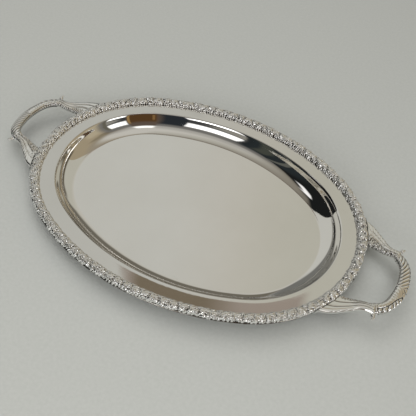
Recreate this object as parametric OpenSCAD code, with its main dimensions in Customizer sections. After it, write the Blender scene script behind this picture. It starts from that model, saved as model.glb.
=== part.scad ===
// Oval two-handled serving tray: pressed pan, cast border in lengths, reeded
// handle bows held in leaf terminals that are screwed under the rim.
// Origin: centre of the floor's underside. +X along the length, +Z up.

/* [Oval] */
// Radius of the end arcs at the border's inner edge
end_radius = 156; // [152:1:160]
// Unit of the triangle (8, 15, 17) that sets the arcs' centres apart
arc_unit = 10; // [9:0.5:11]

/* [Pan] */
// Thickness of the pressed sheet
sheet = 1.2; // [1:0.1:1.4]
// Width of the flat rim, from the well's edge to the border
rim_width = 19.8; // [18:0.2:22]
// Depth of the well, from the rim's top to the floor's top
well_depth = 23.4; // [22:0.2:25]
// Radius of the well's edge, on the polished side
edge_r = 2; // [1.6:0.1:2.4]
// Radius of the shoulder below the edge, on the polished side
shoulder_r = 8; // [6:0.5:10]
// Radius of the cove between wall and floor, on the polished side
cove_r = 24.3; // [22:0.1:26]
// Steepness of the wall, measured from the floor
wall_angle = 66; // [62:1:70]

/* [Border] */
// Width of the cast border
border_w = 15.2; // [14.4:0.1:16]
// Height of the border's crest above the rim
border_h = 8.2; // [7.6:0.1:9]
// Width of the lip that covers the sheet's cut edge
lip_w = 1.6; // [1.2:0.1:2.2]
// Gap at each butt joint between two border castings
seam = 0.3; // [0.2:0.05:0.6]

/* [Handles] */
// Half the thickness of the bow's section
grip_r = 5.6; // [5.2:0.1:5.8]
// How much wider than thick the section is, to each side
grip_flat = 3.2; // [2.6:0.1:3.4]
// Tilt of the bow's section, outer edge down
grip_tilt = 15; // [10:1:20]
// Radius of the bow's middle arc, along its centre line
bow_r = 100; // [98:1:102]
// Distance of the bow's centre line from the tray's middle
bow_x = 307; // [303:0.5:311]
// Height of the bow's centre line above the rim
bow_z = 3; // [2.6:0.2:3.6]
// Radius of the bow's end spigots
spigot_r = 3.2; // [2.8:0.1:3.4]
// Length of the bow's end spigots
spigot_l = 5; // [4:0.5:5.5]

/* [Fixings] */
// Diameter of the screws
screw_d = 4; // [3:0.5:4]
// Diameter of the screw heads
head_d = 7.4; // [6:0.1:8]
// Height of the screw heads
head_h = 2.6; // [2:0.1:3]
// Diameter of the washers
washer_d = 9; // [8.5:0.1:10]
// Thickness of the washers
washer_t = 0.8; // [0.6:0.1:1.2]
// Thickness of the tangs under the rim
tang_t = 3; // [2.5:0.1:4]
// Depth of the blind screw holes in the border
blind_d = 5; // [4:0.1:5.2]

/* [Hidden] */
$fn = 96;

silver = [0.76, 0.75, 0.72];
silver_cast = [0.68, 0.66, 0.62];
silver_dark = [0.55, 0.54, 0.52];

// Four-arc oval: the end arcs are centred at (+-end_cx, 0) and the side arcs
// at (0, -+side_cy). They meet on the line through both centres. At the
// border's inner edge the oval is 2 * half_length long and 2 * half_width wide.
end_cx = 8 * arc_unit;
side_cy = 15 * arc_unit;
side_radius = end_radius + 17 * arc_unit;
half_length = end_cx + end_radius;
half_width = side_radius - side_cy;

// Heights
rim_z = sheet + well_depth;
tang_top = rim_z - sheet;
tang_bottom = tang_top - tang_t;
head_top = tang_bottom - washer_t;
bow_cz = rim_z + bow_z;

// Wall section, as offsets from the border's inner edge
edge_u = -rim_width;
edge_a = 45;
edge_run = edge_r * sin(edge_a);
edge_drop = edge_r * (1 - cos(edge_a));
sh_run = edge_run + shoulder_r * (sin(wall_angle) - sin(edge_a));
sh_drop = edge_drop + shoulder_r * (cos(edge_a) - cos(wall_angle));
cv_run = cove_r * sin(wall_angle);
cv_rise = cove_r * (1 - cos(wall_angle));
wall_rise = well_depth - sh_drop - cv_rise;
wall_run = wall_rise / tan(wall_angle);
floor_u = edge_u - sh_run - wall_run - cv_run;

// The sheet stops short of the border's lip
sheet_edge_u = border_w - lip_w - 0.2;

// Angles of the border's butt joints, about the arcs' centres. The border
// repeats after half a turn.
end_a0 = -30;
end_a1 = 48;
side_a1 = 80;
side_a2 = 110.5;

// Screw places, about the end arcs' centres
screw_a = [20.5, 28];
screw_u = border_w / 2 - 0.4;

// Bow: middle arc, then a corner arc at each end. The arcs meet in the
// direction (24, 7), and the corner arcs end in the direction (8, 15).
corner_r = bow_r - 68;
bow_cx = bow_x - bow_r;
corner_cx = bow_cx + 65.28;
corner_cy = 19.04;
bow_end_a = atan2(15, 8);
bow_end = [corner_cx + corner_r * 8 / 17, corner_cy + corner_r * 15 / 17];

// ---- sweeps along the oval; the children are a section in (offset, height),
// from direction d0 to direction d1, both seen from the arc's centre

module sector(d0, d1)
    linear_extrude(100, center = true) polygon([[0, 0], d0, d0 + d1, d1]);

module end_sweep(d0, d1)
    translate([end_cx, 0, 0]) intersection() {
        rotate([0, 0, 180]) rotate_extrude() translate([end_radius, 0]) children();
        sector(d0, d1);
    }

module side_sweep(d0, d1)
    translate([0, -side_cy, 0]) intersection() {
        rotate([0, 0, 270]) rotate_extrude() translate([side_radius, 0]) children();
        sector(d0, d1);
    }

// a direction by its angle, and the directions of the meeting lines
function dir(a) = 800 * [cos(a), sin(a)];
meet_r = 50 * [8, 15];
meet_l = 50 * [-8, 15];

// part of a ring in the section plane, between two angles
module ring_part(r0, r1, a0, a1) {
    k = 2 * r1;
    intersection() {
        difference() { circle(r1); circle(r0); }
        polygon([[0, 0], [k * cos(a0), k * sin(a0)],
                 [k * cos((a0 + a1) / 2), k * sin((a0 + a1) / 2)],
                 [k * cos(a1), k * sin(a1)]]);
    }
}

// ---- pan

module pan_section(inner_u) {
    // floor
    translate([inner_u, 0]) square([floor_u - inner_u, sheet]);
    // cove
    translate([floor_u, sheet + cove_r])
        ring_part(cove_r, cove_r + sheet, -90, -90 + wall_angle);
    // straight wall
    polygon([for (p = [[cove_r, 0], [cove_r + sheet, 0], [cove_r + sheet, 1], [cove_r, 1]])
        [floor_u + p[0] * sin(wall_angle) + p[1] * wall_run,
         sheet + cove_r - p[0] * cos(wall_angle) + p[1] * wall_rise]]);
    // shoulder
    translate([edge_u - edge_run + shoulder_r * sin(edge_a), rim_z - edge_drop - shoulder_r * cos(edge_a)])
        ring_part(shoulder_r - sheet, shoulder_r, 90 + edge_a, 90 + wall_angle);
    // edge of the well
    translate([edge_u, rim_z - edge_r])
        ring_part(edge_r - sheet, edge_r, 90, 90 + edge_a);
    // flat rim
    translate([edge_u, rim_z - sheet]) square([sheet_edge_u - edge_u, sheet]);
}

module screw_places()
    for (mx = [0, 1], my = [0, 1], a = screw_a)
        mirror([mx, 0, 0]) mirror([0, my, 0])
            translate([end_cx + (end_radius + screw_u) * cos(a),
                       (end_radius + screw_u) * sin(a), 0]) children();

module tray_pan() {
    color(silver)
    difference() {
        union() {
            for (t = [0, 180]) rotate([0, 0, t]) {
                end_sweep([meet_r[0], -meet_r[1]], meet_r) pan_section(-end_radius);
                side_sweep(meet_r, meet_l) pan_section(side_cy - 40 - side_radius);
            }
        }
        screw_places() translate([0, 0, rim_z - 2 * sheet]) cylinder(d = screw_d + 0.4, h = 3 * sheet);
    }
}

// ---- border

module border_section() {
    r = border_w / 2 + 0.7;
    intersection() {
        translate([border_w / 2, rim_z + border_h - r]) circle(r);
        translate([0, rim_z]) square([border_w, border_h + 1]);
    }
    translate([border_w - lip_w, rim_z - sheet]) square([lip_w, sheet + 1]);
}

// turn about an arc's centre that opens half the seam at offset radius r
function half_seam(r) = seam / 2 / r * 180 / PI;
end_s = half_seam(end_radius + border_w / 2);
side_s = half_seam(side_radius + border_w / 2);

module border_end() {
    difference() {
        end_sweep(dir(end_a0 + end_s), dir(end_a1 - end_s)) border_section();
        screw_places() translate([0, 0, rim_z - 1]) cylinder(d = screw_d, h = blind_d + 1);
    }
}

module border_side_right() {
    end_sweep(dir(end_a1 + end_s), meet_r) border_section();
    side_sweep(meet_r, dir(side_a1 - side_s)) border_section();
}

module border_side_centre()
    side_sweep(dir(side_a1 + side_s), dir(side_a2 - side_s)) border_section();

module border_side_left() {
    side_sweep(dir(side_a2 + side_s), meet_l) border_section();
    mirror([1, 0, 0]) end_sweep(dir(-end_a0 + end_s), meet_r) border_section();
}

module border_end_right() color(silver_cast) border_end();
module border_end_left() color(silver_cast) rotate([0, 0, 180]) border_end();
module border_rear_right() color(silver_cast) border_side_right();
module border_rear_centre() color(silver_cast) border_side_centre();
module border_rear_left() color(silver_cast) border_side_left();
module border_front_left() color(silver_cast) rotate([0, 0, 180]) border_side_right();
module border_front_centre() color(silver_cast) rotate([0, 0, 180]) border_side_centre();
module border_front_right() color(silver_cast) rotate([0, 0, 180]) border_side_left();

// ---- handles (right-hand one; the left is its mirror image)

// a flattened round, its outer edge tilted down
module bow_section() {
    e = [cos(grip_tilt), -sin(grip_tilt)];
    f = [sin(grip_tilt), cos(grip_tilt)];
    w = grip_r - 0.02;
    for (s = [-1, 1]) translate(s * grip_flat * e) circle(grip_r);
    polygon([grip_flat * e + w * f, -grip_flat * e + w * f,
             -grip_flat * e - w * f, grip_flat * e - w * f]);
}

module bow() {
    intersection() {
        translate([bow_cx, 0, bow_cz]) rotate([0, 0, -30])
            rotate_extrude(angle = 60) translate([bow_r, 0]) bow_section();
        translate([bow_cx, 0, 0]) linear_extrude(100)
            polygon([[0, 0], [240, -70], [240, 70]]);
    }
    for (m = [0, 1]) mirror([0, m, 0]) {
        intersection() {
            translate([corner_cx, corner_cy, bow_cz])
                rotate_extrude(angle = 90) translate([corner_r, 0]) bow_section();
            translate([corner_cx, corner_cy, 0]) linear_extrude(100)
                polygon([[0, 0], [240, 70], [240, 300], [160, 300]]);
        }
        translate([bow_end[0], bow_end[1], bow_cz]) rotate([0, 0, bow_end_a + 90])
            rotate([0, 90, 0]) translate([0, 0, -1]) cylinder(r = spigot_r, h = spigot_l + 1);
    }
}

// Leaf terminal: rings from the bow's end to the border. Each row holds the
// ring's outer point, its inner point, and its height above and below the line
// between them. The leaf sinks towards the border and its inner edge hangs.
leaf_d = [cos(bow_end_a), sin(bow_end_a)];
function at_end(k, z) = [bow_end[0] + k * leaf_d[0], bow_end[1] + k * leaf_d[1], bow_cz + z];
function above(x, y, z) = [x, y, rim_z + z];
leaf_rows = [
    [at_end(8, -2.1), at_end(-8, 2.1), 5.6, 5.6],
    [above(288.4, 57.2, 3.2), above(280.6, 42.9, 3.6), 5.3, 5.3],
    [above(279, 56.8, 3.6), above(271.6, 43.6, 1.6), 4.8, 4.8],
    [above(270.8, 59.4, 3), above(264, 44.8, 0), 4.4, 4.6],
    [above(262.9, 65.6, 1.8), above(257.4, 46.6, -0.8), 4, 4.6],
    [above(252.3, 73.6, 1.4), above(250.8, 47.8, -1.2), 3.8, 4.6],
    [above(241.5, 81.4, 1.2), above(244, 48.4, -1.2), 3.6, 4.6],
    [above(222, 89.4, 1.2), above(234, 48.6, -1.2), 3.4, 4.6]];
leaf_n = 28;

// ring point: a rounded section
function leaf_pt(row, t) =
    let (m = (row[0] + row[1]) / 2, h = (row[0] - row[1]) / 2,
         c = cos(t), s = sin(t),
         q = sign(c) * pow(abs(c), 0.8), v = s * (s > 0 ? row[2] : row[3]))
    [m[0] + q * h[0], m[1] + q * h[1], m[2] + q * h[2] + v];

// rows blended into a smooth run of rings
leaf_steps = 4;
function blend_row(k, f) =
    let (n = len(leaf_rows) - 1,
         a = leaf_rows[max(k - 1, 0)], b = leaf_rows[k],
         c = leaf_rows[k + 1], d = leaf_rows[min(k + 2, n)])
    [for (i = [0 : 3]) 0.5 * (2 * b[i] + f * (c[i] - a[i])
        + f * f * (2 * a[i] - 5 * b[i] + 4 * c[i] - d[i])
        + f * f * f * (3 * b[i] - a[i] - 3 * c[i] + d[i]))];
leaf_rings = [for (k = [0 : len(leaf_rows) - 2], j = [0 : leaf_steps - 1])
                  blend_row(k, j / leaf_steps),
              leaf_rows[len(leaf_rows) - 1]];

module leaf_body() {
    m = len(leaf_rings);
    pts = [for (r = leaf_rings, i = [0 : leaf_n - 1]) leaf_pt(r, 360 * i / leaf_n)];
    sides = [for (k = [0 : m - 2], i = [0 : leaf_n - 1])
        let (j = (i + 1) % leaf_n, a = k * leaf_n)
        each [[a + i, a + j, a + leaf_n + i], [a + j, a + leaf_n + j, a + leaf_n + i]]];
    ends = [[for (i = [leaf_n - 1 : -1 : 0]) i],
            [for (i = [0 : leaf_n - 1]) (m - 1) * leaf_n + i]];
    polyhedron(pts, concat(sides, ends), convexity = 4);
}

module leaf_terminal() {
    difference() {
        union() {
            // leaf, cut to the border's outer side
            difference() {
                leaf_body();
                translate([end_cx, 0, 0]) cylinder(r = end_radius + border_w + 0.1, h = 60);
            }
            // spur
            translate(above(289, 58.8, 4.2)) sphere(3.2, $fn = 32);
            // tang under the rim and the border
            translate([end_cx, 0, 0]) rotate([0, 0, 17.5]) {
                rotate_extrude(angle = 13.5)
                    translate([end_radius - 5, tang_bottom]) square([border_w + 3, tang_t]);
                rotate_extrude(angle = 8.5)
                    translate([end_radius, tang_bottom]) square([border_w + 6, tang_t]);
            }
        }
        // socket for the bow's spigot
        translate([bow_end[0], bow_end[1], bow_cz]) rotate([0, 0, bow_end_a + 90])
            rotate([0, 90, 0]) translate([0, 0, -1]) cylinder(r = spigot_r + 0.05, h = spigot_l + 1.4);
        // screw clearance
        screw_places() translate([0, 0, tang_bottom - 1]) cylinder(d = screw_d + 0.4, h = tang_t + 2);
    }
}

module handle_grip_right() color(silver_cast) bow();
module handle_grip_left() color(silver_cast) mirror([1, 0, 0]) bow();
module handle_leaf_right_rear() color(silver_cast) leaf_terminal();
module handle_leaf_right_front() color(silver_cast) mirror([0, 1, 0]) leaf_terminal();
module handle_leaf_left_rear() color(silver_cast) mirror([1, 0, 0]) leaf_terminal();
module handle_leaf_left_front() color(silver_cast) mirror([1, 0, 0]) mirror([0, 1, 0]) leaf_terminal();

// ---- fixings

module handle_screws() {
    color(silver_dark)
    screw_places() difference() {
        union() {
            translate([0, 0, head_top - head_h]) cylinder(d = head_d, h = head_h);
            translate([0, 0, head_top]) cylinder(d = screw_d - 0.1, h = rim_z + blind_d - 0.4 - head_top);
        }
        translate([-head_d, -0.5, head_top - head_h - 1]) cube([2 * head_d, 1, 2.2]);
    }
}

module handle_washers() {
    color(silver_dark)
    screw_places() translate([0, 0, head_top]) difference() {
        cylinder(d = washer_d, h = washer_t);
        translate([0, 0, -1]) cylinder(d = screw_d + 0.3, h = washer_t + 2);
    }
}

tray_pan();
border_end_right();
border_end_left();
border_rear_right();
border_rear_centre();
border_rear_left();
border_front_right();
border_front_centre();
border_front_left();
handle_grip_right();
handle_grip_left();
handle_leaf_right_rear();
handle_leaf_right_front();
handle_leaf_left_rear();
handle_leaf_left_front();
handle_screws();
handle_washers();
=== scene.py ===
import math

import bmesh
import bpy
import numpy as np
from mathutils import Matrix, Vector

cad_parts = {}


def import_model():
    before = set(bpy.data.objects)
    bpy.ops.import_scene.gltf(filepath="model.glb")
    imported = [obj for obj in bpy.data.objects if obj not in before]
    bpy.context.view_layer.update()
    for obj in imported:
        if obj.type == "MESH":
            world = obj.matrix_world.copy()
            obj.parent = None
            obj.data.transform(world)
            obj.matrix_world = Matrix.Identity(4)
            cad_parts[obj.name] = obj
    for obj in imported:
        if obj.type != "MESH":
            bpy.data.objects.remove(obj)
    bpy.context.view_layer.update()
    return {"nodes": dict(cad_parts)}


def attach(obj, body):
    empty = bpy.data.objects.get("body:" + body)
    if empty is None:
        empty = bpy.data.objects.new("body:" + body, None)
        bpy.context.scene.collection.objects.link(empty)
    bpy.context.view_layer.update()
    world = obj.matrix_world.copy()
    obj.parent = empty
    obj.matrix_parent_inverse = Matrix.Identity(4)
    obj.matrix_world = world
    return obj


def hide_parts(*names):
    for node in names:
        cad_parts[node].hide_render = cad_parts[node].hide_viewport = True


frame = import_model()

MM = 0.001
rng = np.random.default_rng(20)
pi = math.pi

# ------------------------------------------------------------------ sizes (mm)
END_CX, SIDE_CY = 80.0, 150.0          # centres of the end and side arcs
END_R, SIDE_R = 156.0, 326.0           # their radii at the border's inner edge
MEET = math.atan2(15, 8)               # angle at which they meet
SHEET, DEPTH, RIM_W = 1.2, 23.4, 19.8
RIM = SHEET + DEPTH                    # height of the rim's top
EDGE_R, SH_R, CV_R = 2.0, 8.0, 24.3    # the well's edge, shoulder and cove
EDGE_A, WALL = math.radians(45), math.radians(66)
BORDER_W = 15.2
SCREW_U = BORDER_W / 2 - 0.4
BOW_R, BOW_X = 100.0, 307.0            # the handle bow's middle arc, and where it passes
CORNER_R = BOW_R - 68.0
BOW_CX = BOW_X - BOW_R
CORNER_C = (BOW_CX + 65.28, 19.04)
BOW_Z = RIM + 3.0
BOW_TILT = math.radians(15)            # the strap's outer edge leans down
BOW_END = math.atan2(15, 8)
BOW_MEET = math.atan2(7, 24)

L_END, L_SIDE = 2 * MEET * END_R, (pi - 2 * MEET) * SIDE_R
HALF = L_END + L_SIDE                  # half the oval's length, at the border's inner edge


def oval(s):
    """Points and outward normals on the oval at the border's inner edge, by length along it."""
    s = np.mod(np.asarray(s, float), 2 * HALF)
    turn = np.where(s >= HALF, -1.0, 1.0)
    s = np.where(s >= HALF, s - HALF, s)
    end = s < L_END
    a = np.where(end, -MEET + s / END_R, MEET + (s - L_END) / SIDE_R)
    n = np.stack([np.cos(a), np.sin(a)], -1)
    c = np.where(end[..., None], np.array([END_CX, 0.0]), np.array([0.0, -SIDE_CY]))
    r = np.where(end, END_R, SIDE_R)
    return (c + r[..., None] * n) * turn[..., None], n * turn[..., None], r


def smooth(e0, e1, x):
    t = np.clip((x - e0) / (e1 - e0), 0.0, 1.0)
    return t * t * (3 - 2 * t)


# ------------------------------------------------------------------ mesh tools
def grid_quads(nr, nc, wrap_r=False, wrap_c=False, first=0):
    r = np.arange(nr if wrap_r else nr - 1)
    c = np.arange(nc if wrap_c else nc - 1)
    r, c = np.meshgrid(r, c, indexing="ij")
    r1, c1 = (r + 1) % nr, (c + 1) % nc
    return first + np.stack([r * nc + c, r1 * nc + c, r1 * nc + c1, r * nc + c1], -1).reshape(-1, 4)


def volume(v, faces):
    total = 0.0
    for f in faces:
        if isinstance(f, np.ndarray) and f.ndim == 2:
            a = v[f[:, 0]]
            for k in range(1, f.shape[1] - 1):
                total += np.einsum("ij,ij->", a, np.cross(v[f[:, k]], v[f[:, k + 1]]))
        else:
            f = np.asarray(f)
            a = v[f[0]]
            total += np.sum(a * np.cross(v[f[1:-1]], v[f[2:]]))
    return total / 6


def make(name, verts, faces, attrs=None, sharp=None):
    """A mesh object from points in mm. faces is a list of (n, k) arrays and of single outlines."""
    verts = np.asarray(verts, float)
    if volume(verts, faces) < 0:
        faces = [f[:, ::-1] if isinstance(f, np.ndarray) and f.ndim == 2 else list(f)[::-1] for f in faces]
    idx, tot = [], []
    for f in faces:
        if isinstance(f, np.ndarray) and f.ndim == 2:
            idx.append(f.ravel())
            tot.append(np.full(len(f), f.shape[1]))
        else:
            idx.append(np.asarray(f))
            tot.append(np.array([len(f)]))
    idx, tot = np.concatenate(idx).astype(np.int32), np.concatenate(tot).astype(np.int32)
    me = bpy.data.meshes.new(name)
    me.vertices.add(len(verts))
    me.vertices.foreach_set("co", (verts * MM).astype(np.float32).ravel())
    me.loops.add(len(idx))
    me.loops.foreach_set("vertex_index", idx)
    me.polygons.add(len(tot))
    me.polygons.foreach_set("loop_start", np.concatenate([[0], np.cumsum(tot)[:-1]]).astype(np.int32))
    me.update(calc_edges=True)
    me.polygons.foreach_set("use_smooth", np.ones(len(tot), bool))
    for key, val in (attrs or {}).items():
        me.attributes.new(key, "FLOAT", "POINT").data.foreach_set("value", np.asarray(val, np.float32))
    if sharp:
        me.set_sharp_from_angle(angle=math.radians(sharp))
    me.validate()
    ob = bpy.data.objects.new(name, me)
    bpy.context.scene.collection.objects.link(ob)
    return ob


def blur(a, k):
    """Box blur, twice, of about k cells each way, with edges held."""
    for _ in range(2):
        for ax in (0, 1):
            p = np.concatenate([np.repeat(a.take([0], ax), k, ax), a, np.repeat(a.take([-1], ax), k, ax)], ax)
            c = np.cumsum(p, ax)
            c = np.concatenate([np.zeros_like(c.take([0], ax)), c], ax)
            n = a.shape[ax]
            w = 2 * k + 1
            a = (c.take(range(w, w + n), ax) - c.take(range(n), ax)) / w
    return a


# ------------------------------------------------------------------ materials
def new_material(name):
    m = bpy.data.materials.new(name)
    m.use_nodes = True
    nt = m.node_tree
    b = next(n for n in nt.nodes if n.type == "BSDF_PRINCIPLED")
    return m, nt, b


def node(nt, kind, **kw):
    n = nt.nodes.new(kind)
    for k, v in kw.items():
        setattr(n, k, v)
    return n


def ramp(nt, fac, stops):
    n = node(nt, "ShaderNodeValToRGB")
    e = n.color_ramp.elements
    e[0].position, e[0].color = stops[0][0], (*stops[0][1], 1)
    e[1].position, e[1].color = stops[-1][0], (*stops[-1][1], 1)
    for p, c in stops[1:-1]:
        x = e.new(p)
        x.color = (*c, 1)
    nt.links.new(fac, n.inputs["Fac"])
    return n.outputs["Color"]


def noise(nt, vec, scale, detail=3.0, rough=0.5):
    n = node(nt, "ShaderNodeTexNoise")
    n.inputs["Scale"].default_value = scale
    n.inputs["Detail"].default_value = detail
    n.inputs["Roughness"].default_value = rough
    nt.links.new(vec, n.inputs["Vector"])
    return n.outputs["Fac"]


def maprange(nt, val, a, b, c, d, smoothstep=False):
    n = node(nt, "ShaderNodeMapRange")
    if smoothstep:
        n.interpolation_type = "SMOOTHSTEP"
    for k, v in zip(("From Min", "From Max", "To Min", "To Max"), (a, b, c, d)):
        n.inputs[k].default_value = v
    nt.links.new(val, n.inputs["Value"])
    return n.outputs["Result"]


def math_node(nt, op, a, b=None):
    n = node(nt, "ShaderNodeMath", operation=op)
    for i, v in enumerate((a, b)):
        if v is None:
            continue
        if isinstance(v, (int, float)):
            n.inputs[i].default_value = v
        else:
            nt.links.new(v, n.inputs[i])
    return n.outputs[0]


def object_coords(nt, scale=(1, 1, 1)):
    t = node(nt, "ShaderNodeTexCoord")
    m = node(nt, "ShaderNodeMapping")
    m.inputs["Scale"].default_value = scale
    nt.links.new(t.outputs["Object"], m.inputs["Vector"])
    return m.outputs["Vector"]


def bump(nt, height, strength, distance, normal=None):
    n = node(nt, "ShaderNodeBump")
    n.inputs["Strength"].default_value = strength
    n.inputs["Distance"].default_value = distance
    nt.links.new(height, n.inputs["Height"])
    if normal is not None:
        nt.links.new(normal, n.inputs["Normal"])
    return n.outputs["Normal"]


def polished_silver():
    m, nt, b = new_material("polished_silver_plate")
    L = nt.links.new
    b.inputs["Metallic"].default_value = 1.0
    co = object_coords(nt)
    cloud = noise(nt, co, 9.0, 4.0, 0.55)
    fine = noise(nt, object_coords(nt, (90, 900, 400)), 1.0, 2.0, 0.6)
    # the rim's colour is slightly darker towards -X
    sep = node(nt, "ShaderNodeSeparateXYZ")
    L(co, sep.inputs["Vector"])
    rim_darkening = math_node(nt, "MULTIPLY", maprange(nt, sep.outputs["Z"], (RIM - 0.9) / 1000, (RIM - 0.1) / 1000, 0.0, 1.0),
                     maprange(nt, sep.outputs["X"], -0.25, 0.25, 0.12, 0.0))
    tone = node(nt, "ShaderNodeVectorMath", operation="SCALE")
    L(ramp(nt, cloud, [(0.3, (0.885, 0.868, 0.835)), (0.7, (0.925, 0.912, 0.885))]), tone.inputs[0])
    L(math_node(nt, "SUBTRACT", 1.0, rim_darkening), tone.inputs["Scale"])
    L(tone.outputs[0], b.inputs["Base Color"])
    haze = noise(nt, co, 38.0, 5.0, 0.65)
    r = math_node(nt, "ADD", maprange(nt, haze, 0.35, 0.75, 0.016, 0.042), maprange(nt, fine, 0.45, 0.8, 0.0, 0.022))
    L(r, b.inputs["Roughness"])
    wave = noise(nt, co, 26.0, 1.5, 0.4)
    n1 = bump(nt, wave, 0.05, 0.002)
    n2 = bump(nt, fine, 0.012, 0.0004, n1)
    L(n2, b.inputs["Normal"])
    return m


def cast_silver():
    m, nt, b = new_material("cast_silver_plate")
    L = nt.links.new
    b.inputs["Metallic"].default_value = 1.0
    co = object_coords(nt)
    # relief holds oxide in the hollows together with the painted shade and painted light laid on in the border and
    # grips
    at = node(nt, "ShaderNodeAttribute", attribute_name="relief")
    grain = noise(nt, co, 900.0, 3.0, 0.6)
    patch = noise(nt, co, 60.0, 3.0, 0.5)
    fac = math_node(nt, "ADD", at.outputs["Fac"], maprange(nt, patch, 0.3, 0.7, -0.04, 0.04))
    fac = math_node(nt, "ADD", fac, maprange(nt, grain, 0.3, 0.7, -0.03, 0.03))
    L(ramp(nt, fac, [(0.10, (0.030, 0.025, 0.019)), (0.27, (0.15, 0.132, 0.108)), (0.40, (0.66, 0.645, 0.615)),
                     (0.50, (0.95, 0.945, 0.925)), (0.95, (0.985, 0.983, 0.972))]), b.inputs["Base Color"])
    L(maprange(nt, fac, 0.12, 0.55, 0.32, 0.11), b.inputs["Roughness"])
    L(bump(nt, grain, 0.08, 0.0003), b.inputs["Normal"])
    return m


def plated_steel():
    m, nt, b = new_material("plated_steel_fastener")
    L = nt.links.new
    b.inputs["Metallic"].default_value = 1.0
    co = object_coords(nt)
    g = noise(nt, co, 700.0, 3.0, 0.6)
    L(ramp(nt, g, [(0.3, (0.50, 0.49, 0.47)), (0.7, (0.66, 0.65, 0.62))]), b.inputs["Base Color"])
    L(maprange(nt, g, 0.3, 0.7, 0.26, 0.40), b.inputs["Roughness"])
    L(bump(nt, g, 0.15, 0.0002), b.inputs["Normal"])
    return m


SILVER, CAST, STEEL = polished_silver(), cast_silver(), plated_steel()


# ------------------------------------------------------------------ pan
def pan():
    # section, from the floor's middle out to the rim's edge and back underneath
    edge, out = -RIM_W, BORDER_W - 1.8
    e_c = (edge, RIM - EDGE_R)
    s_c = (edge + (SH_R - EDGE_R) * math.sin(EDGE_A), RIM - EDGE_R + (EDGE_R - SH_R) * math.cos(EDGE_A))
    s_end = (s_c[0] - SH_R * math.sin(WALL), s_c[1] + SH_R * math.cos(WALL))
    wall_rise = s_end[1] - SHEET - CV_R * (1 - math.cos(WALL))
    crease = s_end[0] - wall_rise / math.tan(WALL) - CV_R * math.sin(WALL) + 1.0
    # the cove in two arcs, a tighter one next to the floor; its upper end lies on the wall's line
    fold_r, fold_a, cot = 8.0, math.radians(9), 1 / math.tan(WALL)
    a_u, a_z = crease + fold_r * math.sin(fold_a), fold_r * (1 - math.cos(fold_a))
    cove_r = ((s_end[0] - (s_end[1] - SHEET - a_z) * cot - a_u)
              / (math.sin(WALL) - math.sin(fold_a) - (math.cos(fold_a) - math.cos(WALL)) * cot))
    c_u, c_z = a_u - cove_r * math.sin(fold_a), SHEET + a_z + cove_r * math.cos(fold_a)

    def side(off):
        """One face of the sheet: off is the distance below the polished face."""
        p = []
        for t in np.linspace(0, fold_a, 6)[:-1]:
            p.append((crease + (fold_r + off) * math.sin(t), SHEET + fold_r - (fold_r + off) * math.cos(t)))
        for t in np.linspace(fold_a, WALL, 32):
            p.append((c_u + (cove_r + off) * math.sin(t), c_z - (cove_r + off) * math.cos(t)))
        a = p[-1]
        q = (s_c[0] - (SH_R - off) * math.sin(WALL), s_c[1] + (SH_R - off) * math.cos(WALL))
        for k in (0.25, 0.5, 0.75):
            p.append((a[0] + k * (q[0] - a[0]), a[1] + k * (q[1] - a[1])))
        for t in np.linspace(WALL, EDGE_A, 10):
            p.append((s_c[0] - (SH_R - off) * math.sin(t), s_c[1] + (SH_R - off) * math.cos(t)))
        for t in np.linspace(EDGE_A, 0, 9)[1:]:
            p.append((e_c[0] - (EDGE_R - off) * math.sin(t), e_c[1] + (EDGE_R - off) * math.cos(t)))
        for u in np.linspace(edge, out, 8)[1:]:
            p.append((u, RIM - off))
        return p

    top, low = side(0.0), side(SHEET)
    prof = np.array(top + low[::-1])
    s = np.linspace(0, 2 * HALF, 960, endpoint=False)
    P, N, _ = oval(s)
    xy = P[:, None, :] + prof[None, :, 0, None] * N[:, None, :]
    v = np.concatenate([xy, np.broadcast_to(prof[None, :, 1, None], xy.shape[:2] + (1,))], -1)
    n, k = v.shape[:2]
    verts = [v.reshape(-1, 3)]
    faces = [grid_quads(n, k, wrap_r=True)]
    # the flat floor, top and bottom, as rings that close on the middle
    count = n * k
    for col, z in ((0, SHEET), (k - 1, 0.0)):
        rim = np.arange(n) * k + col
        prev = rim
        for f in (0.8, 0.6, 0.4, 0.2):
            ring = v[:, col] * [f, f, 1]
            verts.append(ring)
            cur = count + np.arange(n)
            faces.append(np.stack([prev, np.roll(prev, -1), np.roll(cur, -1), cur], -1) if col == 0
                         else np.stack([prev, cur, np.roll(cur, -1), np.roll(prev, -1)], -1))
            prev, count = cur, count + n
        verts.append(np.array([[0, 0, z]]))
        mid = np.full(n, count)
        count += 1
        faces.append(np.stack([prev, np.roll(prev, -1), mid], -1) if col == 0 else np.stack([prev, mid, np.roll(prev, -1)], -1))
    ob = make("tray_pan_polished", np.concatenate(verts), faces, sharp=50)
    ob.data.materials.append(SILVER)
    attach(ob, "root")
    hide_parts("tray_pan")
    return ob


# ------------------------------------------------------------------ relief stamps
def hemi(r):
    def f(x, y):
        d = r * r - x * x - y * y
        return np.where(d > 0, np.sqrt(np.maximum(d, 0)), -9.0)
    return f


def lobe(a, b, top, taper=0.0):
    """A smooth raised lobe, 2a long and 2b wide, narrower towards +x by taper."""
    def f(x, y):
        k = (x / a) ** 2 + (y / (b * (1 - taper * np.clip(x / a, -1, 1)))) ** 2
        return np.where(k < 1, top * np.sqrt(np.maximum(1 - k, 0)), -9.0)
    return f


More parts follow.
